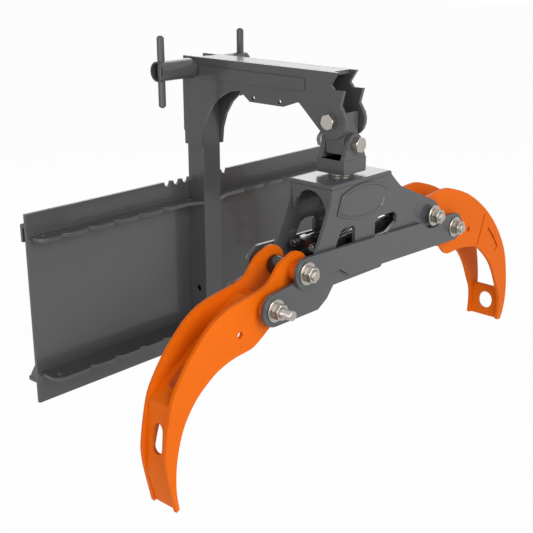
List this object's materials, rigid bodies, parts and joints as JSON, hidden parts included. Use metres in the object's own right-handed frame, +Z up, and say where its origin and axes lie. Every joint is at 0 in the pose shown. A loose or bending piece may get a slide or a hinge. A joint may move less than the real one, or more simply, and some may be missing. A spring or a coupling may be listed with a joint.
{
  "type": "log grapple",
  "caption": "Log grapple on a quick-attach plate: curved tongs crossed by link bars and shut by a cylinder, hung on a swivelling head below a boom and mast",
  "frame": {"origin": "the top face of the lock ledge, half way between its two slots, where the loader's lock pins hold the part", "axes": "+X to the right along the plate, +Y backward to the loader, +Z up; the boom reaches toward -Y"},
  "size_m": [1.4285, 0.7236, 0.9892],
  "materials": {
    "grey_paint": "glossy dark grey powder coat",
    "orange_paint": "satin orange powder coat",
    "black_paint": "glossy black paint",
    "zinc": "zinc-plated steel, slightly warm",
    "chrome": "hard chrome, polished"
  },
  "bodies": {
    "frame": {"mounting_plate": "grey_paint", "top_hook_lip": "grey_paint", "lock_ledge": "grey_paint", "side_gusset_left": "grey_paint", "side_gusset_right": "grey_paint", "upper_rib_left": "grey_paint", "upper_rib_right": "grey_paint", "lower_rib_left": "grey_paint", "lower_rib_right": "grey_paint", "mast_tube": "grey_paint", "boom_side_left": "grey_paint", "boom_side_right": "grey_paint", "boom_top_plate": "grey_paint", "mast_back_plate": "grey_paint", "cross_pipe": "grey_paint", "hose_bar_left": "grey_paint", "hose_bar_right": "grey_paint", "hanger_bolt": "zinc", "hanger_nut": "zinc"},
    "cross_link": {"cross_link_tube": "grey_paint"},
    "fork": {"fork_block": "grey_paint", "fork_bolt": "zinc", "fork_nut": "zinc"},
    "head": {"head_front_plate": "grey_paint", "head_rear_plate": "grey_paint", "head_top_plate": "grey_paint", "head_flange_left": "grey_paint", "head_flange_right": "grey_paint", "name_pad": "grey_paint", "swivel_neck": "zinc", "swivel_pin": "zinc", "left_tong_bolt": "zinc", "left_tong_nut": "zinc", "right_tong_bolt": "zinc", "right_tong_nut": "zinc"},
    "left_tong": {"left_tong_front_plate": "orange_paint", "left_tong_rear_plate": "orange_paint", "left_tong_web": "orange_paint", "left_tong_hub_tube": "orange_paint"},
    "right_tong": {"right_tong_front_plate": "orange_paint", "right_tong_rear_plate": "orange_paint", "right_tong_web": "orange_paint", "right_tong_toe": "orange_paint", "right_tong_link_tube": "orange_paint", "right_link_bolt": "zinc", "right_link_nut": "zinc"},
    "link_bars": {"link_bar_front": "grey_paint", "link_bar_rear": "grey_paint", "left_link_bolt_head": "zinc", "left_link_bolt_end": "zinc", "left_link_nut": "zinc"},
    "cylinder_rod": {"cylinder_rod": "chrome"},
    "cylinder_barrel": {"cylinder_base_cap": "black_paint", "cylinder_gland_cap": "black_paint", "cylinder_tube": "black_paint", "cylinder_tie_rod_1": "chrome", "cylinder_tie_rod_2": "chrome", "cylinder_tie_rod_3": "chrome", "cylinder_tie_rod_4": "chrome", "left_link_pin": "zinc"}
  },
  "joints": [
    {"name": "hanger_swing", "type": "hinge", "parent": "frame", "child": "cross_link", "pos_m": [0, -0.5683, 0.686], "axis": [1, 0, 0], "range_deg": [-25, 8]},
    {"name": "fork_swing", "type": "hinge", "parent": "cross_link", "child": "fork", "pos_m": [0, -0.5683, 0.63], "axis": [0, 1, 0], "range_deg": [-20, 20]},
    {"name": "head_swivel", "type": "hinge", "parent": "fork", "child": "head", "pos_m": [0, -0.5683, 0.549], "axis": [0, 0, 1], "range_deg": [-20, 20]},
    {"name": "left_tong_close", "type": "hinge", "parent": "head", "child": "left_tong", "pos_m": [-0.32, -0.5683, 0.29], "axis": [0, -1, 0], "range_deg": [0, 69]},
    {"name": "right_tong_close", "type": "hinge", "parent": "head", "child": "right_tong", "pos_m": [0.305, -0.5683, 0.394], "axis": [0, 1, 0], "range_deg": [0, 78.8]},
    {"name": "link_bar_turn", "type": "hinge", "parent": "right_tong", "child": "link_bars", "pos_m": [0.4119, -0.5683, 0.3394], "axis": [0, -1, 0], "range_deg": [0, 69.1]},
    {"name": "cylinder_tilt", "type": "hinge", "parent": "head", "child": "cylinder_rod", "pos_m": [0.305, -0.5683, 0.394], "axis": [0, 1, 0], "range_deg": [0, 4.89]},
    {"name": "cylinder_stroke", "type": "slide", "parent": "cylinder_rod", "child": "cylinder_barrel", "axis": [-0.9978, 0, -0.0661], "range_m": [0, 0.1266]}
  ],
  "couplings": [
    {"joint": "right_tong_close", "follows": "left_tong_close", "ratio": 1.1412},
    {"joint": "link_bar_turn", "follows": "left_tong_close", "ratio": 1},
    {"joint": "cylinder_tilt", "follows": "left_tong_close", "ratio": 0.0706},
    {"joint": "cylinder_stroke", "follows": "left_tong_close", "m_per_rad": 0.10498}
  ]
}
